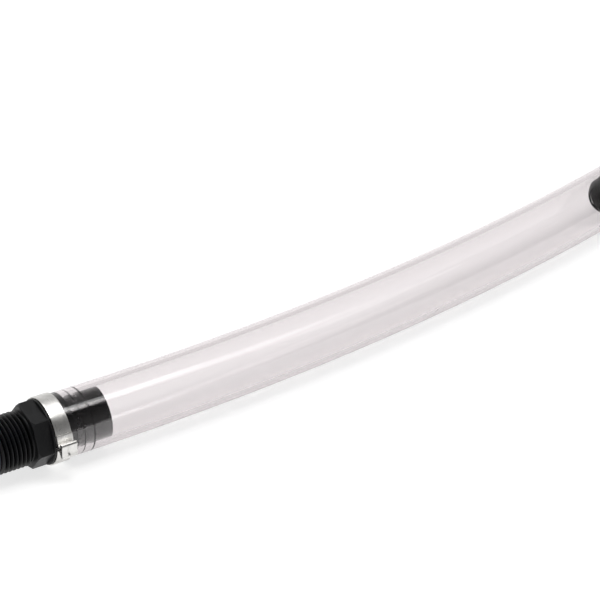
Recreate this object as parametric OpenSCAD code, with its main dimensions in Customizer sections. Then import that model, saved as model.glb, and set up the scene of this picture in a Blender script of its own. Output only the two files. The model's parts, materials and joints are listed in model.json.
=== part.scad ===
// Self-priming gravel vacuum siphon: a clear hose with a hose-thread adapter at its
// outlet, and a ball foot valve behind a slotted gravel guard at its intake.
// The origin is at the centre of the outlet's mouth. X runs along the chord of the
// bent hose towards the intake, and Z is up.

/* [Hose] */
// Inside diameter of the clear hose
hose_bore = 25.4; // [25:0.1:26]
// Wall thickness of the clear hose
hose_wall = 3.175; // [2.6:0.025:3.6]
// Length of the clear hose along its centre
hose_len = 430; // [300:10:600]
// Radius that the hose's centre lies in
bend_r = 1360; // [1200:10:3000]

/* [Adapter] */
// Outside diameter of the male hose thread
thread_od = 26.9; // [26.6:0.1:27.2]
// Distance from one thread crest to the next
thread_pitch = 2.209; // [2.1:0.001:2.3]
// Whole turns of thread
thread_turns = 8; // [5:1:8]
// Width of the wrench body across its corners
hex_corners = 32.4; // [31.6:0.1:32.6]
// Length of the barb inside the hose
barb_len = 31; // [29:1:34]
// Diameter of the waterway
waterway = 19; // [17:0.5:20]

/* [Clamp] */
// Width of the clamp's band
band_w = 8; // [7:0.2:9.6]
// Thickness of the clamp's band
band_t = 0.8; // [0.6:0.05:0.9]
// Height of the pinched ear above the band
ear_h = 5.2; // [4:0.1:5.6]

/* [Foot valve] */
// Diameter of the check ball
ball_d = 22.2; // [21.6:0.1:22.3]
// How far the ball lifts off its seat
ball_lift = 11; // [7:0.5:12]
// Ribs in the ball's cage
cage_ribs = 5; // [3:1:6]

/* [Gravel guard] */
// Length of the guard's slotted basket
basket_len = 52; // [40:1:70]
// Width of one slot
slot_w = 3; // [2:0.1:3.4]
// Slots round the basket
slots = 12; // [8:1:14]
// Grip ribs round the union nut
grip_ribs = 24; // [12:2:30]

/* [Hidden] */
$fn = 96;
fit_gap = 0.05;
snug_gap = 0.12;
swivel_gap = 0.08;
end_gap = 0.3;
overlap = 1;
hose_r = hose_bore / 2;
hose_out_r = hose_r + hose_wall;

// Adapter, measured along its axis from its mouth
pilot_len = 5.5;
pilot_r = 12.2;
mouth_round = 0.4;
thread_r = thread_od / 2;
thread_depth = 1.2;
thread_root_r = thread_r - thread_depth;
thread_flank = thread_depth * tan(30);
thread_land = (thread_pitch - 2 * thread_flank) / 2;
thread_len = thread_turns * thread_pitch;
hex_at = pilot_len + thread_len + 0.3;
hex_len = 8;
hex_chamfer = 1.3;
hex_turn = -11;
collar_len = 0.9;
collar_r = hex_corners / 2 - 0.1;
shoulder_at = hex_at + hex_len + collar_len;
adapter_len = shoulder_at + barb_len;
barb_root_r = hose_r - 0.6;
barb_ridge_r = hose_r - snug_gap;
barb_land_r = hose_r - 0.2;
barb_land_at = 21.6;
barb_ridges = [[8.6, 12.4], [16, 16.6], [20.9, barb_land_at]];
ridge_slope = 0.4;

// Hose: one long bend. Each adapter lies along it at the middle of its barb.
hose_start = 0.3;
hose_turn = hose_len / bend_r * 180 / PI;
grip_turn = barb_len / 2 / bend_r * 180 / PI;
outlet_grip_at = shoulder_at + hose_start + barb_len / 2;
chord_turn = hose_turn / 2 - grip_turn;

// Ear clamp, measured from the adapter's shoulder. Its angles rise from the -Y side.
clamp_at = 0.2;
band_r = hose_out_r + snug_gap;
band_out_r = band_r + band_t;
ear_w = 8;
ear_round = 1.5;
ear_turn = -1;
ear_half = asin(ear_w / 2 / band_out_r);
ear_flat_r = band_out_r + ear_h - ear_round;
lap_end = 20;

// Foot valve, measured towards the intake from the middle of the valve's own length
valve_len = 34;
valve_clear = 0.4;
seat_t = 3.2;
seat_at = valve_len / 2 - seat_t;
valve_turn = (hose_len - barb_len - valve_clear - valve_len / 2) / bend_r * 180 / PI
             - grip_turn;
seat_hole_r = 8.5;
seat_chamfer = 0.8;
ball_r = ball_d / 2;
ball_gap = 0.25;
seated_at = seat_at - ball_gap - sqrt(ball_r * ball_r - seat_hole_r * seat_hole_r);
ball_at = seated_at - ball_lift;
cage_in_r = ball_r + ball_gap;
cage_r = hose_r - 0.35;
cage_base_t = 3;
cage_rib_w = 3;
cage_mouth_r = 7.4;
crown_from = ball_at - cage_r + 1.5;
crown_len = 3.2;

// Gravel guard and its union nut, measured outwards from the intake adapter's mouth
mouth_at = outlet_grip_at;
washer_t = 2.6;
washer_in_r = waterway / 2 + 0.3;
tail_flange_r = thread_r - 0.3;
tail_flange_t = 2.2;
neck_r = 12;
neck_len = 2.6;
basket_at = washer_t + tail_flange_t + neck_len;
basket_r = 16.4;
basket_wall = 2.2;
nose_r = 7;
nose_holes = 6;
nose_hole_d = 4;
slot_margin = 4;
slot_len = basket_len - 2 * slot_margin - nose_r;
nut_len = 21;
nut_bore_r = thread_r + fit_gap;
nut_lip_at = washer_t + tail_flange_t + end_gap;
nut_lip_t = neck_len - 2 * end_gap;
nut_body_r = 16;
nut_r = 16.6;
nut_rib_w = 1.4;

// Turns the Z axis onto X
module along_x() rotate([0, 90, 0]) children();

// A solid of revolution about X, from points of [distance along X, radius]
module revolve(points) along_x() rotate_extrude(convexity = 12)
    polygon([for (p = points) [p[1], p[0]]]);

// A plain tube along X
module tube_x(from, to, outer_r, inner_r) revolve([
    [from, inner_r], [from, outer_r], [to, outer_r], [to, inner_r]
]);

// A round rod or hole along X
module rod_x(from, to, r) translate([from, 0, 0]) along_x() cylinder(r = r, h = to - from);

// Copies spaced evenly round X
module around_x(count, phase = 0) for (i = [0:count - 1])
    rotate([(i + phase) * 360 / count, 0, 0]) children();

// The outlet's own axis: X runs from its mouth into the hose
module on_outlet() rotate([0, 0, -chord_turn]) children();

// A place along the hose, by the turn from the middle of the outlet's barb
module on_hose(turn) on_outlet() translate([outlet_grip_at, bend_r, 0])
    rotate([0, 0, turn]) translate([0, -bend_r, 0]) children();

// The intake adapter's own axis: X runs outwards from the middle of its barb
module on_intake() on_hose(hose_turn - 2 * grip_turn) children();

module clear_hose() color([0.86, 0.84, 0.86, 0.4]) on_outlet()
    translate([outlet_grip_at, bend_r, 0]) rotate([0, 0, -90 - grip_turn])
        rotate_extrude(angle = hose_turn, $fn = 720) translate([bend_r, 0]) difference() {
            circle(r = hose_out_r, $fn = 96);
            circle(r = hose_r, $fn = 96);
        }

// The male hose thread as separate grooves, with its plain pilot end
module threaded_end() revolve(concat(
    [[0, 0], [0, pilot_r - mouth_round], [mouth_round, pilot_r], [pilot_len, pilot_r]],
    [for (i = [0:thread_turns - 1], q = [
        [thread_land / 2, thread_root_r],
        [thread_land / 2 + thread_flank, thread_r],
        [thread_land * 3 / 2 + thread_flank, thread_r],
        [thread_land * 3 / 2 + 2 * thread_flank, thread_root_r]
    ]) [pilot_len + i * thread_pitch + q[0], q[1]]],
    [[hex_at + overlap, thread_root_r], [hex_at + overlap, 0]]
));

// The six-sided wrench body, chamfered at the thread's side
module wrench_body() intersection() {
    translate([hex_at, 0, 0]) along_x() rotate([0, 0, 270 - hex_turn])
        cylinder(d = hex_corners, h = hex_len + overlap / 2, $fn = 6);
    revolve([[hex_at, 0], [hex_at, collar_r - hex_chamfer],
             [hex_at + hex_chamfer * 1.6, hex_corners / 2 + 0.2],
             [shoulder_at, hex_corners / 2 + 0.2], [shoulder_at, 0]]);
}

// The barb, with ridges that grip the hose and a plain land at its tip
module barb() translate([shoulder_at, 0, 0]) revolve(concat(
    [[-overlap, 0], [-overlap, barb_root_r]],
    [for (ridge = barb_ridges, q = [
        [ridge[0] - ridge_slope, barb_root_r], [ridge[0], barb_ridge_r],
        [ridge[1], barb_ridge_r], [ridge[1] + ridge_slope, barb_root_r]
    ]) if (q[0] <= barb_land_at) q],
    [[barb_land_at + ridge_slope, barb_land_r], [barb_len - 0.6, barb_land_r],
     [barb_len, barb_land_r - 0.5], [barb_len, 0]]
));

// One moulded adapter with its mouth at X = 0 and its barb towards +X
module adapter() color([0.09, 0.09, 0.1]) difference() {
    union() {
        threaded_end();
        wrench_body();
        rod_x(shoulder_at - collar_len, shoulder_at, collar_r);
        barb();
    }
    rod_x(-overlap, adapter_len + overlap, waterway / 2);
}

module outlet_adapter() on_outlet() adapter();

module intake_adapter() on_intake() translate([mouth_at, 0, 0])
    rotate([0, 0, 180]) adapter();

// The pinched ear's outline, standing out along X, shrunk all round by an inset
module ear_outline(inset) {
    translate([band_r, -ear_w / 2 + inset])
        square([ear_flat_r - band_r, ear_w - 2 * inset]);
    translate([band_r, -ear_w / 2 + ear_round])
        square([ear_flat_r - band_r + ear_round - inset, ear_w - 2 * ear_round]);
    for (side = [-1, 1]) translate([ear_flat_r, side * (ear_w / 2 - ear_round)])
        circle(r = ear_round - inset);
}

// The band's second layer, from the ear's upper foot to the lap's end
module lap() rotate(270 - lap_end) difference() {
    intersection() {
        circle(r = band_out_r + band_t);
        polygon([[0, 0], [2 * band_out_r, 0],
                 2 * band_out_r * [1, tan(lap_end - ear_turn - ear_half + 2)]]);
    }
    circle(r = band_out_r - band_t / 2);
}

// One stepless ear clamp: a band, its lapped end and its pinched ear
module ear_clamp() color([0.75, 0.75, 0.74]) translate([clamp_at, 0, 0]) along_x()
    linear_extrude(height = band_w, convexity = 8) difference() {
        union() {
            circle(r = band_out_r);
            lap();
            rotate(270 - ear_turn) ear_outline(0);
        }
        circle(r = band_r);
        rotate(270 - ear_turn) ear_outline(band_t);
    }

module outlet_ear_clamp() on_outlet() translate([shoulder_at, 0, 0]) ear_clamp();

module intake_ear_clamp() on_intake() translate([mouth_at - shoulder_at, 0, 0])
    mirror([1, 0, 0]) ear_clamp();

// Rubber ring that the ball closes on, held against the barb's tip
module valve_seat_ring() color([0.12, 0.12, 0.12]) on_hose(valve_turn) revolve([
    [seat_at, seat_hole_r + seat_chamfer], [seat_at, hose_r - snug_gap],
    [seat_at + seat_t, hose_r - snug_gap], [seat_at + seat_t, seat_hole_r],
    [seat_at + seat_chamfer, seat_hole_r]
]);

// Ribbed cage whose crown reaches round the lifted ball
module valve_cage() color([0.09, 0.09, 0.1]) on_hose(valve_turn) {
    tube_x(seat_at - fit_gap - cage_base_t, seat_at - fit_gap, cage_r, cage_in_r);
    difference() {
        intersection() {
            union() {
                translate([ball_at, 0, 0]) along_x() sphere(r = cage_r);
                rod_x(ball_at, seat_at - overlap, cage_r);
            }
            union() {
                around_x(cage_ribs) translate([crown_from, -cage_rib_w / 2, 0])
                    cube([seat_at - overlap - crown_from, cage_rib_w, hose_r]);
                rod_x(crown_from, crown_from + crown_len, hose_r);
            }
        }
        translate([ball_at, 0, 0]) along_x() sphere(r = cage_in_r);
        rod_x(ball_at, seat_at, cage_in_r);
        rod_x(crown_from - overlap, ball_at, cage_mouth_r);
    }
}

module check_ball() color([0.1, 0.1, 0.1]) on_hose(valve_turn)
    translate([ball_at, 0, 0]) along_x() sphere(r = ball_r);

// Moves to the intake adapter's mouth, with X outwards
module at_mouth() on_intake() translate([mouth_at, 0, 0]) children();

// Flat hose washer between the adapter's mouth and the guard's tail
module guard_washer() color([0.15, 0.15, 0.15]) at_mouth()
    tube_x(fit_gap, washer_t, tail_flange_r, washer_in_r);

// Slotted basket with a flanged tail that the union nut holds
module gravel_guard() color([0.09, 0.09, 0.1]) at_mouth() difference() {
    revolve(concat(
        [[washer_t, washer_in_r], [washer_t, tail_flange_r],
         [washer_t + tail_flange_t, tail_flange_r], [washer_t + tail_flange_t, neck_r],
         [basket_at, neck_r], [basket_at, basket_r - mouth_round],
         [basket_at + mouth_round, basket_r]],
        [for (a = [0:15:90]) [basket_at + basket_len - nose_r * (1 - sin(a)),
                              basket_r - nose_r * (1 - cos(a))]],
        [[basket_at + basket_len, 0], [basket_at + basket_len - basket_wall, 0]],
        [for (a = [90:-15:0]) [basket_at + basket_len - nose_r + (nose_r - basket_wall) * sin(a),
                               basket_r - nose_r + (nose_r - basket_wall) * cos(a)]],
        [[basket_at + slot_margin - 1, basket_r - basket_wall],
         [basket_at, washer_in_r]]
    ));
    around_x(slots) translate([basket_at + slot_margin, -slot_w / 2, 0])
        cube([slot_len, slot_w, basket_r + overlap]);
    for (i = [0:nose_holes - 1])
        translate([0, nose_r * cos(i * 60), nose_r * sin(i * 60)])
            rod_x(basket_at + basket_len - 2 * basket_wall, basket_at + basket_len + overlap,
                  nose_hole_d / 2);
}

// Nut that screws on the intake adapter and turns freely on the guard's tail
module union_nut() color([0.09, 0.09, 0.1]) at_mouth() {
    revolve([
        [-nut_len, nut_bore_r], [-nut_len, nut_body_r - mouth_round],
        [-nut_len + mouth_round, nut_body_r],
        [nut_lip_at + nut_lip_t - mouth_round, nut_body_r],
        [nut_lip_at + nut_lip_t, nut_body_r - mouth_round],
        [nut_lip_at + nut_lip_t, neck_r + swivel_gap], [nut_lip_at, neck_r + swivel_gap],
        [nut_lip_at, nut_bore_r]
    ]);
    around_x(grip_ribs) translate([1.5 - nut_len, -nut_rib_w / 2, nut_body_r - 0.5])
        cube([nut_len + nut_lip_at - 1.5, nut_rib_w, nut_r - nut_body_r + 0.5]);
}

clear_hose();
outlet_adapter();
outlet_ear_clamp();
intake_adapter();
intake_ear_clamp();
valve_seat_ring();
valve_cage();
check_ball();
guard_washer();
gravel_guard();
union_nut();
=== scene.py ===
"""Looks of a gravel vacuum siphon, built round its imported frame.

Pieces are modelled in millimetres in a local frame, with X along their own axis and Z up,
and are then settled into the row frame in metres.
"""
import json
import logging
from collections.abc import Sequence
from dataclasses import dataclass, field
from enum import Enum
from math import asin, atan2, ceil, cos, degrees, hypot, pi, radians, sin, tan, tau

import bpy
from mathutils import Matrix, Vector


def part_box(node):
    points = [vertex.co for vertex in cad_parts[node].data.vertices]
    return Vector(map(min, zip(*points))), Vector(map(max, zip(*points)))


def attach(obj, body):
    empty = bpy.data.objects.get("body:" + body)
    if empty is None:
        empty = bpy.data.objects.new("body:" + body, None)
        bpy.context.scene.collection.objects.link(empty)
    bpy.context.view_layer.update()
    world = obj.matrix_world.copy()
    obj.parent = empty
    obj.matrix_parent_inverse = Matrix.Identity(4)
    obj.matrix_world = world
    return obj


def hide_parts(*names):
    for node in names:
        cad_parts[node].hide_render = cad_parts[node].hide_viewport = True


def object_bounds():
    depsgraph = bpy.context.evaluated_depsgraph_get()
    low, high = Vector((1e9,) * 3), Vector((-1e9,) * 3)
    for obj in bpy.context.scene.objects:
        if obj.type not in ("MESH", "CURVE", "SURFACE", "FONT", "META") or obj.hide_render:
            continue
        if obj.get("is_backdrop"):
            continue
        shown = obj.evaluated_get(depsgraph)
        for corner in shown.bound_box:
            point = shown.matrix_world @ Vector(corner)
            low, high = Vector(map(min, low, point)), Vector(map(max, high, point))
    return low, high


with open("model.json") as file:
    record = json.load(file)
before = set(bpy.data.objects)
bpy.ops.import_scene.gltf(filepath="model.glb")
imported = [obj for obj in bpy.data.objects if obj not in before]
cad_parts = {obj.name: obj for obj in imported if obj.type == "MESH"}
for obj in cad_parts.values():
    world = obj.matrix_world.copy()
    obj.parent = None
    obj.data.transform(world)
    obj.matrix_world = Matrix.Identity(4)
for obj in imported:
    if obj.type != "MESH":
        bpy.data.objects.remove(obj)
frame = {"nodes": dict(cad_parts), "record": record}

MM = 0.001
MERGE = 0.0004
SMOOTH_BELOW = radians(32)
HOSE_GAP = 0.3
CLAMP_INSET = 0.2

log = logging.getLogger("siphon")
Point = tuple[float, float]
Corner = tuple[float, float, float]


class Slot(Enum):
    """Material slots of the record."""

    CLEAR = "clear_vinyl"
    MOULDED = "black_moulding"
    STEEL = "clamp_steel"
    BALL = "ball_rubber"
    SEAL = "seal_rubber"


# ---------------------------------------------------------------- finishes


class NodeSheet:
    """A material's node tree with short ways to add and join its nodes."""

    def __init__(self, name: str) -> None:
        """Starts a material that holds a Principled shader and its output.

        Args:
            name: The material's name.
        """
        self.material = bpy.data.materials.new(name)
        self.material.use_nodes = True
        self.tree = self.material.node_tree
        self.shader = self.tree.nodes["Principled BSDF"]
        self.output = self.tree.nodes["Material Output"]
        self.coordinates = self.add("ShaderNodeTexCoord")

    def add(self, kind: str, **inputs: object) -> bpy.types.Node:
        """Adds a node and sets its inputs by name, with _ standing for a space.

        Args:
            kind: The node's type name.
            **inputs: Values or output sockets for the node's inputs.

        Returns:
            The new node.
        """
        node = self.tree.nodes.new(kind)
        for name, value in inputs.items():
            self.feed(node, name.replace("_", " "), value)
        return node

    def feed(self, node: bpy.types.Node, name: str | int, value: object) -> None:
        """Sets one input of a node to a value, or joins an output socket to it.

        Args:
            node: The node.
            name: The input's name or place.
            value: The value, or the socket to join.
        """
        if isinstance(value, bpy.types.NodeSocket):
            self.tree.links.new(value, node.inputs[name])
        else:
            node.inputs[name].default_value = value

    def mapped(self, turn: float = 0.0, scale: Sequence[float] = (1, 1, 1),
               source: str = "Object") -> bpy.types.NodeSocket:
        """Coordinates turned about Z and then scaled.

        Args:
            turn: The turn about Z in radians.
            scale: The scale along each axis after the turn.
            source: The texture coordinate to start from.

        Returns:
            The vector socket.
        """
        start = self.coordinates.outputs[source]
        turned = self.add("ShaderNodeMapping", Vector=start, Rotation=(0, 0, turn))
        return self.add("ShaderNodeMapping", Vector=turned.outputs[0], Scale=scale).outputs[0]

    def noise(self, vector: bpy.types.NodeSocket, scale: float, detail: float = 3.0,
              roughness: float = 0.5) -> bpy.types.NodeSocket:
        """The grey value of a noise texture.

        Args:
            vector: Where the texture is read.
            scale: Its scale, in cells a metre.
            detail: Its number of finer layers.
            roughness: How strong the finer layers are.

        Returns:
            The value's socket.
        """
        made = self.add("ShaderNodeTexNoise", Vector=vector, Scale=scale, Detail=detail,
                        Roughness=roughness)
        return made.outputs[0]

    def band(self, value: bpy.types.NodeSocket, low: float, high: float,
             to_low: float = 0.0, to_high: float = 1.0) -> bpy.types.NodeSocket:
        """Maps a value's band from low to high onto another band, and clamps it.

        Args:
            value: The value's socket.
            low: The band's lower end.
            high: The band's upper end.
            to_low: What the lower end becomes.
            to_high: What the upper end becomes.

        Returns:
            The mapped value's socket.
        """
        made = self.add("ShaderNodeMapRange")
        for place, number in enumerate((value, low, high, to_low, to_high)):
            self.feed(made, place, number)
        return made.outputs[0]

    def blend(self, factor: bpy.types.NodeSocket, first: object,
              second: object) -> bpy.types.NodeSocket:
        """Mixes two colours by a factor.

        Args:
            factor: 0 for the first colour, 1 for the second.
            first: The first colour or its socket.
            second: The second colour or its socket.

        Returns:
            The mixed colour's socket.
        """
        made = self.tree.nodes.new("ShaderNodeMix")
        made.data_type = "RGBA"
        for place, value in ((0, factor), (6, first), (7, second)):
            self.feed(made, place, value)
        return made.outputs[2]

    def combine(self, operation: str, first: object, second: object) -> bpy.types.NodeSocket:
        """One arithmetic step between two numbers.

        Args:
            operation: The step's name.
            first: The first number or its socket.
            second: The second number or its socket.

        Returns:
            The result's socket.
        """
        made = self.tree.nodes.new("ShaderNodeMath")
        made.operation = operation
        self.feed(made, 0, first)
        self.feed(made, 1, second)
        return made.outputs[0]

    def bump(self, height: bpy.types.NodeSocket, distance: float,
             strength: float = 1.0) -> None:
        """Gives the shader a bumped normal, on top of any bump it already has.

        Args:
            height: The height's socket.
            distance: The bump's height in metres.
            strength: How much of it shows.
        """
        made = self.add("ShaderNodeBump", Height=height, Distance=distance, Strength=strength)
        before = self.shader.inputs["Normal"].links
        if before:
            self.feed(made, "Normal", before[0].from_socket)
        self.feed(self.shader, "Normal", made.outputs[0])

    def set(self, **inputs: object) -> None:
        """Sets the shader's inputs by name, with _ standing for a space."""
        for name, value in inputs.items():
            self.feed(self.shader, name.replace("_", " "), value)


@dataclass(frozen=True)
class MouldedPlastic:
    """Black injection-moulded polypropylene with a fine spark-eroded grain."""

    name: str = "black_polypropylene"
    colour: tuple = (0.0072, 0.0074, 0.0082, 1)
    rubbed: tuple = (0.0115, 0.0115, 0.012, 1)
    roughness: tuple = (0.34, 0.46)
    shine: float = 0.2
    grain: float = 2600.0
    grain_depth: float = 0.000014
    coat: float = 0.0

    def make(self) -> bpy.types.Material:
        """Builds the material.

        Returns:
            The finished material.
        """
        sheet = NodeSheet(self.name)
        where = sheet.mapped()
        cloud = sheet.noise(where, 140, 4)
        fine = sheet.noise(where, self.grain, 2)
        flow = sheet.noise(sheet.mapped(scale=(1, 4, 4)), 300, 3)
        sheet.set(
            Base_Color=sheet.blend(sheet.band(cloud, 0.45, 0.75), self.colour, self.rubbed),
            Roughness=sheet.band(flow, 0.3, 0.7, *self.roughness),
            IOR=1.49,
            Specular_IOR_Level=self.shine,
            Coat_Weight=self.coat,
            Coat_Roughness=0.08,
        )
        sheet.bump(fine, self.grain_depth, 0.6)
        sheet.bump(cloud, 0.00006, 0.35)
        return sheet.material


@dataclass(frozen=True)
class ClearVinyl:
    """Clear soft vinyl, faintly pink-grey in its depth, with light scuffs."""

    name: str = "clear_vinyl"
    tint: tuple = (0.66, 0.575, 0.592, 1)
    depth_density: float = 88.0
    roughness: float = 0.035
    scuffed: float = 0.3

    def make(self) -> bpy.types.Material:
        """Builds the material.

        Returns:
            The finished material.
        """
        sheet = NodeSheet(self.name)
        along = sheet.mapped(scale=(18, 3.0, 1), source="UV")
        drawn = sheet.noise(along, 3.0, 4, 0.6)
        specks = sheet.noise(sheet.mapped(), 420, 2, 0.6)
        patches = sheet.noise(sheet.mapped(), 34, 2, 0.5)
        speck = sheet.combine("MULTIPLY", sheet.band(specks, 0.66, 0.72),
                              sheet.band(patches, 0.48, 0.62))
        streak = sheet.band(drawn, 0.62, 0.8)
        worn = sheet.combine("MAXIMUM", speck, sheet.combine("MULTIPLY", streak, 0.25))
        sheet.set(
            Base_Color=(1, 1, 1, 1),
            Transmission_Weight=1.0,
            IOR=1.52,
            Roughness=sheet.band(worn, 0.0, 1.0, self.roughness, self.scuffed),
        )
        sheet.bump(sheet.noise(sheet.mapped(scale=(6, 14, 1), source="UV"), 1.0, 2), 0.0003, 0.1)
        depth = sheet.add("ShaderNodeVolumeAbsorption", Color=self.tint,
                          Density=self.depth_density)
        sheet.feed(sheet.output, "Volume", depth.outputs[0])
        return sheet.material


@dataclass(frozen=True)
class RolledSteel:
    """Bright stainless strip with fine rolling lines round the band."""

    name: str = "rolled_stainless"
    heading: float = 0.0
    colour: tuple = (0.74, 0.73, 0.71, 1)
    dull: tuple = (0.56, 0.55, 0.53, 1)
    roughness: tuple = (0.25, 0.42)

    def make(self) -> bpy.types.Material:
        """Builds the material.

        Returns:
            The finished material.
        """
        sheet = NodeSheet(self.name)
        lines = sheet.noise(sheet.mapped(-self.heading, (1, 0.02, 0.02)), 5200, 3, 0.6)
        broad = sheet.noise(sheet.mapped(-self.heading, (1, 0.12, 0.12)), 900, 3, 0.6)
        smear = sheet.noise(sheet.mapped(), 210, 3, 0.6)
        sheet.set(
            Base_Color=sheet.blend(sheet.band(smear, 0.4, 0.75), self.colour, self.dull),
            Metallic=1.0,
            Roughness=sheet.band(sheet.combine("ADD", lines, smear), 0.7, 1.3, *self.roughness),
        )
        sheet.bump(lines, 0.000012, 0.5)
        sheet.bump(broad, 0.00003, 0.35)
        return sheet.material


@dataclass(frozen=True)
class MouldedRubber:
    """Black rubber with a soft bloom and a fine skin."""

    name: str
    colour: tuple = (0.005, 0.0042, 0.0042, 1)
    bloom: tuple = (0.014, 0.0118, 0.0118, 1)
    roughness: tuple = (0.55, 0.72)

    def make(self) -> bpy.types.Material:
        """Builds the material.

        Returns:
            The finished material.
        """
        sheet = NodeSheet(self.name)
        where = sheet.mapped()
        cloud = sheet.noise(where, 170, 4, 0.6)
        skin = sheet.noise(where, 3000, 2)
        sheet.set(
            Base_Color=sheet.blend(sheet.band(cloud, 0.4, 0.7), self.colour, self.bloom),
            Roughness=sheet.band(cloud, 0.35, 0.7, *self.roughness),
            IOR=1.52,
            Specular_IOR_Level=0.3,
        )
        sheet.bump(skin, 0.00002, 0.5)
        return sheet.material


@dataclass(frozen=True)
class PaleFloor:
    """Plain white tabletop of lit acrylic, whose light fades towards its edges."""

    name: str = "pale_floor"
    colour: tuple = (0.5, 0.5, 0.5, 1)
    glow: float = 0.72
    edge_glow: float = 0.6
    fade: tuple = (0.5, 1.8)

    def make(self) -> bpy.types.Material:
        """Builds the material.

        Returns:
            The finished material.
        """
        sheet = NodeSheet(self.name)
        away = sheet.tree.nodes.new("ShaderNodeVectorMath")
        away.operation = "LENGTH"
        sheet.feed(away, 0, sheet.mapped())
        sheet.set(Base_Color=self.colour, Roughness=0.9, Specular_IOR_Level=0.1,
                  Emission_Color=(1, 1, 1, 1),
                  Emission_Strength=sheet.band(away.outputs["Value"], *self.fade, self.glow,
                                               self.edge_glow))
        return sheet.material


@dataclass(frozen=True)
class StudioRoom:
    """Surroundings that are pale behind the object and dim in front of it and overhead."""

    name: str = "studio_room"
    front: tuple = (0.2, -0.98, 0.0)
    turn_over: tuple = (-0.15, 0.45)
    pale: float = 0.9
    dim: float = 0.19
    rise: tuple = (0.3, 0.8)
    overhead: float = 0.32

    def make(self) -> bpy.types.World:
        """Builds the world.

        Returns:
            The finished world.
        """
        world = bpy.data.worlds.new(self.name)
        world.use_nodes = True
        tree = world.node_tree
        where = tree.nodes.new("ShaderNodeTexCoord").outputs["Generated"]
        facing = tree.nodes.new("ShaderNodeVectorMath")
        facing.operation = "DOT_PRODUCT"
        facing.inputs[1].default_value = self.front
        parts = tree.nodes.new("ShaderNodeSeparateXYZ")
        strength = tree.nodes.new("ShaderNodeMath")
        strength.operation = "MULTIPLY"
        tree.links.new(where, facing.inputs[0])
        tree.links.new(where, parts.inputs[0])
        for place, (value, band) in enumerate((
                (facing.outputs["Value"], (*self.turn_over, self.pale, self.dim)),
                (parts.outputs["Z"], (*self.rise, 1.0, self.overhead)))):
            fade = tree.nodes.new("ShaderNodeMapRange")
            tree.links.new(value, fade.inputs[0])
            for end, number in enumerate(band, start=1):
                fade.inputs[end].default_value = number
            tree.links.new(fade.outputs[0], strength.inputs[place])
        background = tree.nodes["Background"]
        background.inputs["Color"].default_value = (1, 1, 1, 1)
        tree.links.new(strength.outputs[0], background.inputs["Strength"])
        return world


# ---------------------------------------------------------------- modelling


@dataclass(frozen=True)
class Place:
    """A local frame on the object, with X along an axis and Z up."""

    origin: Vector
    along: Vector

    def matrix(self) -> Matrix:
        """Takes local millimetres to the row frame's metres.

        Returns:
            The matrix, with its scale.
        """
        x_axis = self.along.normalized()
        z_axis = Vector((0, 0, 1))
        axes = Matrix((x_axis, z_axis.cross(x_axis), z_axis)).transposed().to_4x4()
        return Matrix.Translation(self.origin) @ axes @ Matrix.Scale(MM, 4)

    def heading(self) -> float:
        """The turn of local X about Z from the row's X, in radians."""
        return atan2(self.along.y, self.along.x)

    def moved(self, distance: float) -> "Place":
        """The same frame, moved along its X by a distance in millimetres."""
        return Place(self.origin + self.along.normalized() * distance * MM, self.along)


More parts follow.
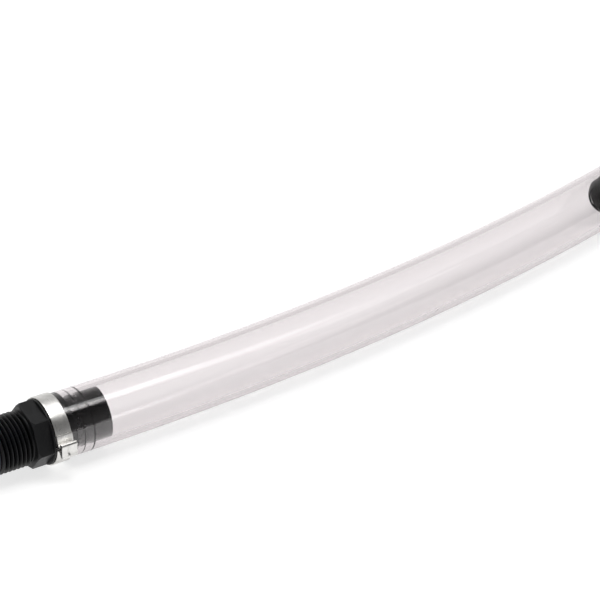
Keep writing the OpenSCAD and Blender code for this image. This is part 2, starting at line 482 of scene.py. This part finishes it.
class Bench:
    """Edit-mode steps that the pieces are modelled with."""

    @staticmethod
    def clear() -> None:
        """Leaves edit mode and deselects everything."""
        active = bpy.context.view_layer.objects.active
        if active is not None and active.mode != "OBJECT":
            bpy.ops.object.mode_set(mode="OBJECT")
        bpy.ops.object.select_all(action="DESELECT")

    @staticmethod
    def pick(*pieces: bpy.types.Object) -> None:
        """Selects only these pieces and makes the first one active.

        Args:
            *pieces: The pieces.
        """
        Bench.clear()
        for piece in pieces:
            piece.select_set(True)
        bpy.context.view_layer.objects.active = pieces[0]

    @staticmethod
    def edit(piece: bpy.types.Object, select: str = "SELECT") -> None:
        """Opens a piece in edit mode with all or none of it selected.

        Args:
            piece: The piece.
            select: SELECT for all of it, DESELECT for none.
        """
        Bench.pick(piece)
        bpy.ops.object.mode_set(mode="EDIT")
        bpy.ops.mesh.select_all(action=select)

    @staticmethod
    def close() -> None:
        """Goes back to object mode."""
        bpy.ops.object.mode_set(mode="OBJECT")

    @staticmethod
    def draw(name: str, points: Sequence[Sequence[float]]) -> bpy.types.Object:
        """Draws a chain of edges by extruding one vertex from point to point.

        Args:
            name: The new object's name.
            points: Points in the local frame. A chain that ends where it starts is closed.

        Returns:
            The object, out of edit mode.
        """
        Bench.clear()
        bpy.ops.mesh.primitive_plane_add(size=1)
        piece = bpy.context.object
        piece.name = name
        piece.data.name = name
        bpy.ops.object.mode_set(mode="EDIT")
        bpy.ops.mesh.merge(type="CENTER")
        corners = [Vector(point) for point in points]
        bpy.ops.transform.translate(value=corners[0])
        for before, after in zip(corners, corners[1:]):
            bpy.ops.mesh.extrude_region_move(TRANSFORM_OT_translate={"value": after - before})
        bpy.ops.mesh.select_all(action="SELECT")
        bpy.ops.mesh.remove_doubles(threshold=MERGE)
        Bench.close()
        return piece

    @staticmethod
    def turn(name: str, outline: Sequence[Point], steps: int = 128) -> bpy.types.Object:
        """Turns a closed outline of (along X, radius) points into a solid of revolution.

        Args:
            name: The new object's name.
            outline: The outline's points, without the closing one.
            steps: Steps in a full turn.

        Returns:
            The closed solid.
        """
        chain = [(x, 0.0, r) for x, r in outline]
        piece = Bench.draw(name, [*chain, chain[0]])
        Bench.edit(piece)
        bpy.ops.mesh.spin(steps=steps, angle=tau, center=(0, 0, 0), axis=(1, 0, 0))
        Bench.tidy(piece)
        return piece

    @staticmethod
    def tidy(piece: bpy.types.Object) -> None:
        """Merges doubles and turns all faces outwards.

        Args:
            piece: The piece, which is left out of edit mode.
        """
        Bench.edit(piece)
        bpy.ops.mesh.remove_doubles(threshold=MERGE)
        bpy.ops.mesh.dissolve_degenerate(threshold=MERGE / 4)
        bpy.ops.mesh.select_all(action="SELECT")
        bpy.ops.mesh.normals_make_consistent(inside=False)
        Bench.close()

    @staticmethod
    def apply(piece: bpy.types.Object, kind: str, **settings: object) -> None:
        """Adds a modifier with its settings and applies it.

        Args:
            piece: The piece.
            kind: The modifier's type name.
            **settings: The modifier's settings by name.
        """
        Bench.pick(piece)
        modifier = piece.modifiers.new(kind.title(), kind)
        for name, value in settings.items():
            setattr(modifier, name, value)
        bpy.ops.object.modifier_apply(modifier=modifier.name)

    @staticmethod
    def join_by(piece: bpy.types.Object, tool: bpy.types.Object, operation: str) -> None:
        """Unites, cuts or intersects a piece with a tool, which is used up."""
        Bench.apply(piece, "BOOLEAN", operation=operation, solver="EXACT", object=tool)
        bpy.data.objects.remove(tool)

    @staticmethod
    def copies(tool: bpy.types.Object, count: int) -> bpy.types.Object:
        """Copies a tool evenly round X and joins the copies into one object.

        Args:
            tool: The tool, which becomes the joined object.
            count: How many there are in all.

        Returns:
            The joined object.
        """
        made = [tool]
        for number in range(1, count):
            copy = tool.copy()
            copy.data = tool.data.copy()
            bpy.context.scene.collection.objects.link(copy)
            copy.matrix_world = Matrix.Rotation(number * tau / count, 4, "X") @ tool.matrix_world
            made.append(copy)
        Bench.pick(*made)
        bpy.ops.object.join()
        bpy.ops.object.transform_apply(location=True, rotation=True, scale=True)
        return tool

    @staticmethod
    def settle(piece: bpy.types.Object, place: Place, material: bpy.types.Material) -> None:
        """Puts a piece into the row frame, smooths its shading and gives it its material.

        Args:
            piece: The piece, in local millimetres.
            place: Its local frame.
            material: Its finish.
        """
        piece.matrix_world = place.matrix() @ piece.matrix_world
        Bench.pick(piece)
        bpy.ops.object.transform_apply(location=True, rotation=True, scale=True)
        bpy.ops.object.shade_smooth_by_angle(angle=SMOOTH_BELOW)
        piece.data.materials.clear()
        piece.data.materials.append(material)


def rounded(corners: Sequence[Corner], step: float = radians(15)) -> list[Point]:
    """Rounds the corners of a closed outline.

    Args:
        corners: (x, y, fillet radius) of each corner, in order.
        step: The largest turn between two points of a fillet.

    Returns:
        The outline's points, with each rounded corner as an arc.
    """
    points: list[Point] = []
    count = len(corners)
    for place, (x, y, radius) in enumerate(corners):
        here = Vector((x, y))
        before = Vector(corners[place - 1][:2]) - here
        after = Vector(corners[(place + 1) % count][:2]) - here
        opening = before.angle(after, pi)
        if radius <= 0 or opening > pi - 0.02:
            points.append((x, y))
            continue
        reach = radius / tan(opening / 2)
        centre = here + (before.normalized() + after.normalized()).normalized() * (
            radius / sin(opening / 2))
        start = here + before.normalized() * reach - centre
        sweep = start.angle_signed(here + after.normalized() * reach - centre)
        steps = max(1, ceil(abs(sweep) / step))
        for number in range(steps + 1):
            turned = start.copy()
            turned.rotate(Matrix.Rotation(-sweep * number / steps, 2))
            points.append(tuple(centre + turned))
    return points


def enlist(piece: bpy.types.Object, body: str, slot: Slot, *nodes: str) -> None:
    """Makes a piece ride on its body and stand for its CAD nodes.

    Args:
        piece: The finished piece.
        body: The body that it rides on.
        slot: The record's slot for its finish; not used.
        *nodes: The CAD nodes that it stands for.
    """
    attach(piece, body)
    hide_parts(*nodes)
    log.info("%s: %d faces on %s", piece.name, len(piece.data.polygons), body)


# ---------------------------------------------------------------- pieces


@dataclass
class Adapter:
    """One moulding: pilot end, male hose thread, hexagon, round collar and barb.

    Its local X runs from its mouth into the hose. Sizes are in millimetres.
    """

    name: str
    node: str
    place: Place
    waterway_r: float = 9.5
    pilot_r: float = 12.2
    pilot_len: float = 5.5
    root_r: float = 12.25
    crest_r: float = 13.45
    pitch: float = 2.209
    turns: int = 8
    hex_len: float = 8.0
    hex_r: float = 16.2
    hex_turn: float = -11.0
    collar_r: float = 16.1
    collar_len: float = 0.9
    barb_len: float = 31.0
    barb_root_r: float = 12.1
    barb_grip_r: float = 12.76
    barb_land_r: float = 12.5
    barb_slope: float = 0.5
    land_slope: float = 0.3
    grips: tuple = ((8.6, 12.4, 0.35), (16.0, 16.45, 0.12), (20.9, 21.6, 0.2))
    hex_spare: float = 0.4
    hex_edge: float = 0.3
    hex_chamfer: float = 1.2
    hex_lap: float = 0.3
    ridge_half_root: float = 0.93
    ridge_half_crest: float = 0.2
    ridge_crown: float = 0.06
    ridge_sunk: float = 0.25
    ridge_faded: float = 0.3
    ridge_steps: int = 96

    @property
    def hex_at(self) -> float:
        """Where the hexagon starts."""
        return self.pilot_len + self.turns * self.pitch + 0.3

    @property
    def shoulder(self) -> float:
        """Where the collar ends and the hose can begin."""
        return self.hex_at + self.hex_len + self.collar_len

    def body(self) -> bpy.types.Object:
        """Turns the bore, the pilot end, the thread's root, the collar and the barb.

        Returns:
            The closed solid.
        """
        end = self.shoulder
        corners: list[Corner] = [
            (0, self.waterway_r, 0.5),
            (0, self.pilot_r, 0.7),
            (self.pilot_len - 0.3, self.pilot_r, 0),
            (self.pilot_len, self.root_r, 0),
            (end - self.collar_len, self.root_r, 0),
            (end - self.collar_len, self.collar_r, 0.2),
            (end, self.collar_r, 0.3),
            (end, self.barb_root_r, 0.3),
        ]
        for low, high, round_r in self.grips:
            last = (low, high, round_r) == self.grips[-1]
            corners += [
                (end + low - self.barb_slope, self.barb_root_r, 0),
                (end + low, self.barb_grip_r, round_r),
                (end + high, self.barb_grip_r, round_r),
            ]
            corners.append((end + high + self.land_slope, self.barb_land_r, 0) if last else
                           (end + high + self.barb_slope, self.barb_root_r, 0))
        corners += [
            (end + self.barb_len, self.barb_land_r, 0.5),
            (end + self.barb_len, self.waterway_r, 0.4),
        ]
        return Bench.turn(self.name, rounded(corners))

    def thread(self) -> bpy.types.Object:
        """Winds the thread's ridge, which fades in and out at its ends.

        Returns:
            The closed ridge.
        """
        rising = [(-self.ridge_half_root, self.root_r - self.ridge_sunk),
                  (0.1 - self.ridge_half_root, self.root_r),
                  (-self.ridge_half_crest, self.crest_r - self.ridge_crown)]
        profile = [*rising, (0, self.crest_r), *((-x, r) for x, r in reversed(rising))]
        start = self.pilot_len + self.pitch / 2
        chain = [(start + x, 0.0, r) for x, r in profile]
        ridge = Bench.draw(f"{self.name}_ridge", [*chain, chain[0]])
        Bench.apply(ridge, "SCREW", axis="X", angle=tau, screw_offset=self.pitch,
                    iterations=self.turns - 1, steps=self.ridge_steps,
                    render_steps=self.ridge_steps, use_merge_vertices=False)
        self.fade(ridge, len(profile))
        Bench.edit(ridge, "DESELECT")
        bpy.ops.mesh.select_non_manifold()
        bpy.ops.mesh.edge_face_add()
        Bench.tidy(ridge)
        return ridge

    def fade(self, ridge: bpy.types.Object, ring: int) -> None:
        """Sinks the first and last sixth of a turn of the thread into its root.

        Args:
            ridge: The ridge, still as rings in order.
            ring: The points in one ring.
        """
        rings = len(ridge.data.vertices) // ring
        fade_over = self.ridge_steps // 6
        for number, vertex in enumerate(ridge.data.vertices):
            place = number // ring
            near_end = min(place, rings - 1 - place)
            if near_end < fade_over:
                radius = hypot(vertex.co.y, vertex.co.z)
                keep = sin(pi / 2 * near_end / fade_over)
                floor_r = self.root_r - self.ridge_faded
                wanted = floor_r + (radius - floor_r) * keep if radius > floor_r else radius
                vertex.co.y *= wanted / radius
                vertex.co.z *= wanted / radius

    def hexagon(self) -> bpy.types.Object:
        """Makes the wrench body, with rounded edges and corners chamfered at the thread.

        Returns:
            The wrench body.
        """
        Bench.clear()
        bpy.ops.mesh.primitive_cylinder_add(
            vertices=6, radius=self.hex_r + 0.12, depth=self.hex_len + self.hex_spare,
            location=(self.hex_at + self.hex_len / 2 + self.hex_spare / 2, 0, 0),
            rotation=(0, pi / 2, 0))
        block = bpy.context.object
        bpy.ops.object.transform_apply(location=True, rotation=True, scale=True)
        # The new prism has a corner on the -Y side, and the turn is counted from there.
        block.matrix_world = Matrix.Rotation(-radians(self.hex_turn), 4, "X")
        bpy.ops.object.transform_apply(location=True, rotation=True, scale=True)
        Bench.apply(block, "BEVEL", width=self.hex_edge, segments=3, limit_method="ANGLE")
        chamfer = Bench.turn(f"{self.name}_chamfer", rounded([
            (self.hex_at, self.waterway_r + 1, 0),
            (self.hex_at, self.hex_r - self.hex_chamfer, 0.3),
            (self.hex_at + self.hex_chamfer, self.hex_r + 0.05, 0.4),
            (self.shoulder - self.hex_lap, self.hex_r + 0.05, 0),
            (self.shoulder - self.hex_lap, self.waterway_r + 1, 0)]))
        Bench.join_by(block, chamfer, "INTERSECT")
        return block

    def polish(self, piece: bpy.types.Object, smooth: bpy.types.Material) -> None:
        """Gives the barb's faces the smoother finish of its polished mould.

        Args:
            piece: The settled adapter.
            smooth: The smoother finish.
        """
        piece.data.materials.append(smooth)
        axis = self.place.along.normalized()
        for polygon in piece.data.polygons:
            distance = (polygon.center - self.place.origin).dot(axis) / MM
            if distance > self.shoulder - self.collar_len / 2:
                polygon.material_index = 1

    def build(self, body: str, material: bpy.types.Material,
              smooth: bpy.types.Material) -> bpy.types.Object:
        """Models the adapter and puts it on its body.

        Args:
            body: The body that it rides on.
            material: Its finish.
            smooth: The finish of its barb.

        Returns:
            The finished adapter.
        """
        piece = self.body()
        Bench.join_by(piece, self.hexagon(), "UNION")
        Bench.join_by(piece, self.thread(), "UNION")
        Bench.settle(piece, self.place, material)
        self.polish(piece, smooth)
        enlist(piece, body, Slot.MOULDED, self.node)
        return piece


@dataclass
class EarClamp:
    """A single-ear pinch clamp: one strip, bent round the hose, lapped and pinched.

    Its local X runs across the band from its first edge. Angles rise from the -Y side.
    """

    name: str
    node: str
    place: Place
    inside_r: float = 15.98
    width: float = 8.0
    thick: float = 0.75
    ear_turn: float = -1.0
    ear_out: float = 5.3
    ear_half: float = 4.0
    neck_half: float = 0.85
    lap_end: float = 20.0
    dimple: tuple = (0.85, 2.2)
    dimple_depth: float = 0.5
    lap_step: float = 1.04
    edge: float = 0.12
    across: int = 20

    def at(self, angle: float, radius: float) -> Point:
        """The (y, z) point at an angle up from the -Y side."""
        return -radius * cos(radians(angle)), radius * sin(radians(angle))

    def ear_point(self, out: float, up: float) -> Point:
        """The (y, z) point that far out from the band and up from the ear's middle.

        Args:
            out: The distance out from the middle of the band's thickness.
            up: The distance up from the ear's middle.

        Returns:
            The point.
        """
        base = self.inside_r + self.thick / 2
        turn = radians(self.ear_turn)
        y = -(base + out) * cos(turn) + up * sin(turn)
        z = (base + out) * sin(turn) + up * cos(turn)
        return y, z

    def strip(self) -> list[Point]:
        """The strip's middle line, from its lapped end through the ear and round the hose.

        Returns:
            The line's (y, z) points.
        """
        first = self.inside_r + self.thick / 2
        second = first + self.thick * self.lap_step
        foot = self.neck_half + 1.3
        foot_turn = degrees(asin(foot / first))
        points = [self.at(angle, second)
                  for angle in self.steps(self.lap_end, self.ear_turn + foot_turn, 1.5)]
        face = self.ear_out - self.thick / 2
        half = self.ear_half - self.thick / 2
        # The ear's upper side as (out, up), from its foot through its neck to its face.
        wall = [(self.thick * self.lap_step + 0.3, self.neck_half + 0.35),
                (1.6, self.neck_half), (2.1, self.neck_half + 0.15), (face - 1.9, half - 1.0),
                (face - 1.3, half - 0.35), (face - 0.8, half), (face - 0.3, half - 0.15),
                (face, half - 0.55)]
        points += [self.ear_point(out, up) for out, up in wall]
        pressed = [self.ear_point(face - 0.28, up)
                   for up in self.steps(half - 1.5, 1.5 - half, 0.4)]
        points += [self.ear_point(face - 0.05, half - 1.0), *pressed,
                   self.ear_point(face - 0.05, 1.0 - half)]
        points += [self.ear_point(out, -up) for out, up in reversed(wall[1:])]
        points.append(self.ear_point(0.3, -self.neck_half - 0.4))
        points += [self.at(angle, first) for angle in
                   self.steps(self.ear_turn - foot_turn, self.ear_turn - 352, 3.0)]
        return points

    @staticmethod
    def steps(first: float, last: float, size: float) -> list[float]:
        """Evenly spaced angles from first to last."""
        count = ceil(abs(last - first) / size)
        return [first + (last - first) * number / count for number in range(count + 1)]

    def pressed(self, piece: bpy.types.Object) -> None:
        """Presses the long dimple, deepest at its lower end, into the ear's outer face.

        Args:
            piece: The strip, before it has a thickness.
        """
        turn = radians(self.ear_turn)
        out_axis = Vector((0, -cos(turn), sin(turn)))
        up_axis = Vector((0, sin(turn), cos(turn)))
        face = self.inside_r + self.ear_out - self.thick / 2
        for vertex in piece.data.vertices:
            out = vertex.co.dot(out_axis)
            up = vertex.co.dot(up_axis)
            if out > face - 0.5 and abs(up) < self.ear_half:
                across = (vertex.co.x - self.width / 2 + 0.4) / self.dimple[0]
                length = up / self.dimple[1]
                depth = max(0.0, 1 - across * across - length * length) ** 0.6
                low = max(0.0, 1 - across * across - ((up + 1.2) / 0.8) ** 2) ** 0.6
                vertex.co -= out_axis * (depth + 0.6 * low) * self.dimple_depth

    def build(self, body: str, material: bpy.types.Material) -> bpy.types.Object:
        """Models the clamp and puts it on its body.

        Args:
            body: The body that it rides on.
            material: Its finish.

        Returns:
            The finished clamp.
        """
        piece = Bench.draw(self.name, [(0.0, y, z) for y, z in self.strip()])
        Bench.edit(piece)
        for _ in range(self.across):
            bpy.ops.mesh.extrude_region_move(
                TRANSFORM_OT_translate={"value": (self.width / self.across, 0, 0)})
        Bench.tidy(piece)
        self.pressed(piece)
        Bench.apply(piece, "SOLIDIFY", thickness=self.thick, offset=0.0,
                    use_quality_normals=True)
        Bench.apply(piece, "BEVEL", width=self.edge, segments=2, limit_method="ANGLE",
                    angle_limit=radians(50))
        Bench.tidy(piece)
        Bench.settle(piece, self.place, material)
        enlist(piece, body, Slot.STEEL, self.node)
        return piece


@dataclass
class Hose:
    """The clear hose, in one bend. Sizes are in millimetres."""

    place: Place
    first_end: float
    tangent_at: float
    bore_r: float = 12.7
    wall: float = 3.175
    length: float = 430.0
    bend_r: float = 1360.0
    rings: int = 86
    sides: int = 112
    edge: float = 0.25

    def centre(self, distance: float) -> Vector:
        """The centreline's point at a distance from the outlet end, in the local frame.

        Args:
            distance: The distance along the hose in millimetres.

        Returns:
            The point.
        """
        turn = (distance + self.first_end - self.tangent_at) / self.bend_r
        return Vector((self.tangent_at + self.bend_r * sin(turn),
                       self.bend_r * (1 - cos(turn)), 0))

    def route(self) -> list[Vector]:
        """The rings' centres in the row frame.

        Returns:
            The centres in metres, from the outlet end on.
        """
        to_row = self.place.matrix()
        return [to_row @ self.centre(self.length * ring / self.rings)
                for ring in range(self.rings + 1)]

    def build(self, body: str, material: bpy.types.Material) -> bpy.types.Object:
        """Args:
            body: The body that it rides on.
            material: Its finish.

        Returns:
            The finished hose.
        """
        outside = self.bore_r + self.wall
        start_turn = (self.first_end - self.tangent_at) / self.bend_r
        Bench.clear()
        bpy.ops.mesh.primitive_circle_add(vertices=self.sides, radius=outside,
                                          rotation=(0, pi / 2, start_turn))
        piece = bpy.context.object
        piece.name = "hose_clear"
        bpy.ops.object.transform_apply(location=True, rotation=True, scale=True)
        bpy.ops.object.mode_set(mode="EDIT")
        bpy.ops.mesh.select_all(action="SELECT")
        bpy.ops.mesh.extrude_region_move()
        bpy.ops.transform.resize(value=[self.bore_r / outside] * 3)
        bpy.ops.mesh.select_all(action="SELECT")
        bpy.ops.transform.translate(value=self.centre(0))
        bpy.ops.mesh.spin(steps=self.rings, angle=-self.length / self.bend_r,
                          center=(self.tangent_at, self.bend_r, 0), axis=(0, 0, 1))
        Bench.close()
        Bench.tidy(piece)
        self.unwrap(piece)
        Bench.apply(piece, "BEVEL", width=self.edge, segments=2, limit_method="ANGLE",
                    angle_limit=radians(60))
        Bench.settle(piece, self.place, material)
        enlist(piece, body, Slot.CLEAR, "clear_hose")
        route = self.route()
        return piece

    def unwrap(self, piece: bpy.types.Object) -> None:
        """Lays the UV map along the hose in metres and round it from one side to the other.

        Args:
            piece: The hose, in its local frame.
        """
        layer = piece.data.uv_layers.new(name="along_and_round")
        for polygon in piece.data.polygons:
            for loop in polygon.loop_indices:
                spot = piece.data.vertices[piece.data.loops[loop].vertex_index].co
                turn = atan2(spot.x - self.tangent_at, self.bend_r - spot.y)
                out = hypot(spot.x - self.tangent_at, self.bend_r - spot.y) - self.bend_r
                layer.data[loop].uv = (turn * self.bend_r * MM,
                                       abs(atan2(spot.z, out)) / pi)


@dataclass
class CheckBall:
    """The foot valve's rubber ball, with the fine flash line of its mould."""

    place: Place
    radius: float = 11.1
    flash: float = 0.03
    flash_half: float = 0.3
    flash_lean: float = 84.0

    def build(self, body: str, material: bpy.types.Material) -> bpy.types.Object:
        """Models the ball and puts it on its body.

        Args:
            body: The body that it rides on.
            material: Its finish.

        Returns:
            The finished ball.
        """
        Bench.clear()
        bpy.ops.mesh.primitive_uv_sphere_add(segments=96, ring_count=64, radius=self.radius)
        piece = bpy.context.object
        piece.name = "ball_rubber"
        for vertex in piece.data.vertices:
            near = max(0.0, 1 - abs(vertex.co.z) / self.flash_half)
            vertex.co.x *= 1 + near * self.flash / self.radius
            vertex.co.y *= 1 + near * self.flash / self.radius
        piece.matrix_world = Matrix.Rotation(radians(self.flash_lean), 4, "Y")
        bpy.ops.object.transform_apply(location=True, rotation=True, scale=True)
        Bench.settle(piece, self.place, material)
        enlist(piece, body, Slot.BALL, "check_ball")
        return piece


@dataclass
class GravelGuard:
    """The slotted basket on its flanged tail. Local X runs outwards from the mouth."""

    place: Place
    washer_t: float = 2.6
    bore_r: float = 9.8
    flange_r: float = 13.15
    flange_t: float = 2.2
    neck_r: float = 12.0
    neck_len: float = 2.6
    basket_r: float = 16.4
    basket_len: float = 52.0
    wall: float = 2.2
    nose_r: float = 7.0
    slots: int = 12
    slot_w: float = 3.0
    slot_margin: float = 4.0
    nose_holes: int = 6
    nose_hole_r: float = 2.0
    edge: float = 0.22
    cut_from: float = 8.0
    cut_len: float = 12.0

    def shell(self) -> bpy.types.Object:
        """Turns the tail and the basket.

        Returns:
            The closed solid.
        """
        start = self.washer_t + self.flange_t + self.neck_len
        end = start + self.basket_len
        inside = self.basket_r - self.wall
        return Bench.turn("gravel_guard_basket", rounded([
            (self.washer_t, self.bore_r, 0.3), (self.washer_t, self.flange_r, 0.3),
            (self.washer_t + self.flange_t, self.flange_r, 0.3),
            (self.washer_t + self.flange_t, self.neck_r, 0.2),
            (start, self.neck_r, 0.2), (start, self.basket_r, 0.7),
            (end, self.basket_r, self.nose_r), (end, 0.001, 0),
            (end - self.wall, 0.001, 0), (end - self.wall, inside, self.nose_r - self.wall),
            (start + self.slot_margin - 1, inside, 1.0), (start, self.bore_r, 1.0)]))

    def slot_cutter(self) -> bpy.types.Object:
        """Makes one round-ended cutter for a slot, standing out along Z.

        Returns:
            The cutter.
        """
        start = self.washer_t + self.flange_t + self.neck_len + self.slot_margin
        length = self.basket_len - 2 * self.slot_margin - self.nose_r
        half = self.slot_w / 2
        ring = rounded([(start, -half, half - 0.01), (start + length, -half, half - 0.01),
                        (start + length, half, half - 0.01), (start, half, half - 0.01)])
        chain = [(x, y, self.cut_from) for x, y in ring]
        cutter = Bench.draw("slot_cutter", [*chain, chain[0]])
        Bench.edit(cutter)
        bpy.ops.mesh.edge_face_add()
        bpy.ops.mesh.extrude_region_move(TRANSFORM_OT_translate={"value": (0, 0, self.cut_len)})
        Bench.tidy(cutter)
        return cutter

    def nose_cutter(self) -> bpy.types.Object:
        """Makes one drill for a nose hole, along X.

        Returns:
            The drill.
        """
        Bench.clear()
        bpy.ops.mesh.primitive_cylinder_add(vertices=32, radius=self.nose_hole_r,
                                            depth=self.cut_len, rotation=(0, pi / 2, 0))
        drill = bpy.context.object
        end = self.washer_t + self.flange_t + self.neck_len + self.basket_len
        drill.location = (end, self.nose_r, 0)
        bpy.ops.object.transform_apply(location=True, rotation=True, scale=True)
        return drill

    def build(self, body: str, material: bpy.types.Material) -> bpy.types.Object:
        """Models the guard and puts it on its body.

        Args:
            body: The body that it rides on.
            material: Its finish.

        Returns:
            The finished guard.
        """
        piece = self.shell()
        Bench.join_by(piece, Bench.copies(self.slot_cutter(), self.slots), "DIFFERENCE")
        Bench.join_by(piece, Bench.copies(self.nose_cutter(), self.nose_holes), "DIFFERENCE")
        Bench.apply(piece, "BEVEL", width=self.edge, segments=2, limit_method="ANGLE",
                    angle_limit=radians(50))
        Bench.settle(piece, self.place, material)
        enlist(piece, body, Slot.MOULDED, "gravel_guard")
        return piece


@dataclass
class UnionNut:
    """The ribbed nut over the intake adapter's thread. Local X runs outwards."""

    place: Place
    length: float = 21.0
    bore_r: float = 13.5
    body_r: float = 16.0
    rib_r: float = 16.6
    ribs: int = 24
    rib_w: float = 1.4
    rib_inset: float = 1.5
    rib_edge: float = 0.5
    lip_at: float = 5.1
    lip_t: float = 2.0
    lip_r: float = 12.08

    def build(self, body: str, material: bpy.types.Material) -> bpy.types.Object:
        """Models the nut and puts it on its body.

        Args:
            body: The body that it rides on.
            material: Its finish.

        Returns:
            The finished nut.
        """
        end = self.lip_at + self.lip_t
        piece = Bench.turn("union_nut_ribbed", rounded([
            (-self.length, self.bore_r, 0.4), (-self.length, self.body_r, 0.6),
            (end, self.body_r, 0.6), (end, self.lip_r, 0.25),
            (self.lip_at, self.lip_r, 0.2), (self.lip_at, self.bore_r, 0.3)]))
        Bench.clear()
        rib_len = end + self.length - self.rib_inset
        bpy.ops.mesh.primitive_cube_add(
            size=1, location=(self.rib_inset - self.length + rib_len / 2, 0, self.body_r),
            scale=(rib_len, self.rib_w, 2 * (self.rib_r - self.body_r)))
        rib = bpy.context.object
        bpy.ops.object.transform_apply(location=True, rotation=True, scale=True)
        Bench.apply(rib, "BEVEL", width=self.rib_edge, segments=3, limit_method="ANGLE")
        Bench.join_by(piece, Bench.copies(rib, self.ribs), "UNION")
        Bench.settle(piece, self.place, material)
        enlist(piece, body, Slot.MOULDED, "union_nut")
        return piece


# ---------------------------------------------------------------- stage


@dataclass(frozen=True)
class View:
    """The camera, given by the point on the hose's own level that it looks at."""

    aim: tuple = (0.2039, 0.0097, 0.0)
    azimuth: float = -40.588
    elevation: float = 30.0
    distance: float = 1.3088
    lens: float = 154.47

    def build(self) -> None:
        """Makes the camera and sets it as the scene's."""
        ahead = Vector((-sin(radians(self.azimuth)) * cos(radians(self.elevation)),
                        cos(radians(self.azimuth)) * cos(radians(self.elevation)),
                        -sin(radians(self.elevation))))
        data = bpy.data.cameras.new("camera")
        data.lens = self.lens
        data.sensor_width = 36
        data.clip_start = 0.01
        camera = bpy.data.objects.new("camera", data)
        camera.location = Vector(self.aim) - ahead * self.distance
        camera.rotation_euler = ahead.to_track_quat("-Z", "Y").to_euler()
        bpy.context.scene.collection.objects.link(camera)
        bpy.context.scene.camera = camera


@dataclass(frozen=True)
class Studio:
    """A white table under one large soft light and three strips aimed along the hose.

    A light is given by its name, place, aim, width and height in metres, and watts.
    """

    level: float
    table: float = 6.0
    lights: tuple = (
        ("strip_near", (0.51, -0.28, 1.16), (-0.03, 0.158, 0.0), (0.24, 0.27), 0.5),
        ("strip_core", (0.6, -0.352, 1.093), (0.091, 0.061, 0.0), (0.18, 0.54), 0.3),
        ("strip_soft", (0.694, -0.429, 1.02), (0.219, -0.043, 0.0), (0.36, 0.82), 0.8),
        ("top_light", (0.25, 0.1, 1.6), (0.25, 0.0, 0.0), (0.8, 1.4), 15.0),
    )

    def floor(self) -> None:
        """Lays the floor at the level that the object lies on."""
        Bench.clear()
        bpy.ops.mesh.primitive_plane_add(size=self.table, location=(0.25, 0, self.level))
        table = bpy.context.object
        table.name = "floor"
        table.data.materials.append(PaleFloor().make())
        table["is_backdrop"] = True

    @staticmethod
    def softbox(name: str, where: tuple, aim: tuple, size: tuple, power: float) -> None:
        """Adds one rectangular area light.

        Args:
            name: The light's name.
            where: Its place in metres.
            aim: The point that it faces.
            size: Its width and height in metres.
            power: Its power in watts.
        """
        data = bpy.data.lights.new(name, "AREA")
        data.shape = "RECTANGLE"
        data.size, data.size_y = size
        data.energy = power
        lamp = bpy.data.objects.new(name, data)
        lamp.location = where
        lamp.rotation_euler = (Vector(aim) - Vector(where)).to_track_quat("-Z", "Y").to_euler()
        bpy.context.scene.collection.objects.link(lamp)

    def build(self) -> None:
        """Makes the floor, the lights and the surroundings."""
        self.floor()
        for light in self.lights:
            self.softbox(*light)
        bpy.context.scene.world = StudioRoom().make()
        bpy.context.scene.view_settings.view_transform = "Standard"


# ---------------------------------------------------------------- assembly


@dataclass
class Siphon:
    """The whole object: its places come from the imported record."""

    record: dict
    joints: dict = field(init=False)
    outlet: Place = field(init=False)
    intake: Place = field(init=False)

    def __post_init__(self) -> None:
        """Finds the outlet's and the intake's frames."""
        mounts = {mount["name"]: mount for mount in self.record["mounts"]}
        self.joints = {j["name"]: j for j in self.record["behaviour"]["joints"]}
        mouth = mounts["outlet_bore"]
        self.outlet = Place(Vector(mouth["pos_m"]), -Vector(mouth["axis"]))
        nut = self.joints["nut_turn"]
        self.intake = Place(Vector(nut["pos_m"]), Vector(nut["axis"]))

    def ball_place(self) -> Place:
        """The frame at the ball's centre, along its travel."""
        low, high = (Vector(corner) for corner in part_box("check_ball"))
        return Place((low + high) / 2, Vector(self.joints["ball_travel"]["axis"]))

    def build(self) -> None:
        """Models and dresses every piece."""
        black = MouldedPlastic().make()
        smooth = MouldedPlastic("polished_polypropylene", (0.003, 0.003, 0.0034, 1),
                                (0.0045, 0.0045, 0.005, 1), (0.1, 0.16), shine=0.7,
                                grain_depth=0.000002, coat=0.25).make()
        seal = MouldedRubber("seal_rubber").make()
        into_hose = Place(self.intake.origin, -self.intake.along)
        outlet = Adapter("adapter_outlet", "outlet_adapter", self.outlet)
        outlet.build("siphon", black, smooth)
        Adapter("adapter_intake", "intake_adapter", into_hose).build("siphon", black, smooth)
        start = outlet.shoulder + HOSE_GAP
        Hose(self.outlet, start, start + outlet.barb_len / 2).build(
            "siphon", ClearVinyl().make())
        near = self.outlet.moved(outlet.shoulder + CLAMP_INSET)
        far = self.intake.moved(-outlet.shoulder - CLAMP_INSET - EarClamp.width)
        for name, place in (("outlet", near), ("intake", far)):
            steel = RolledSteel(f"rolled_stainless_{name}", place.heading()).make()
            EarClamp(f"clamp_{name}", f"{name}_ear_clamp", place).build("siphon", steel)
        CheckBall(self.ball_place()).build("ball", MouldedRubber("ball_rubber").make())
        GravelGuard(self.intake).build("guard", black)
        UnionNut(self.intake).build("nut", black)
        for node, material in (("valve_cage", black), ("valve_seat_ring", seal),
                               ("guard_washer", seal)):
            kept = frame["nodes"][node]
            kept.data.materials.clear()
            kept.data.materials.append(material)
            log.info("%s: kept from the frame", node)


def main() -> None:
    """Builds the camera, the object and its stage."""
    logging.basicConfig(level=logging.INFO, format="%(name)s: %(message)s")
    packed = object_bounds()
    View().build()
    Siphon(frame["record"]).build()
    Studio(packed[0][2]).build()


if __name__ == "__main__":
    main()
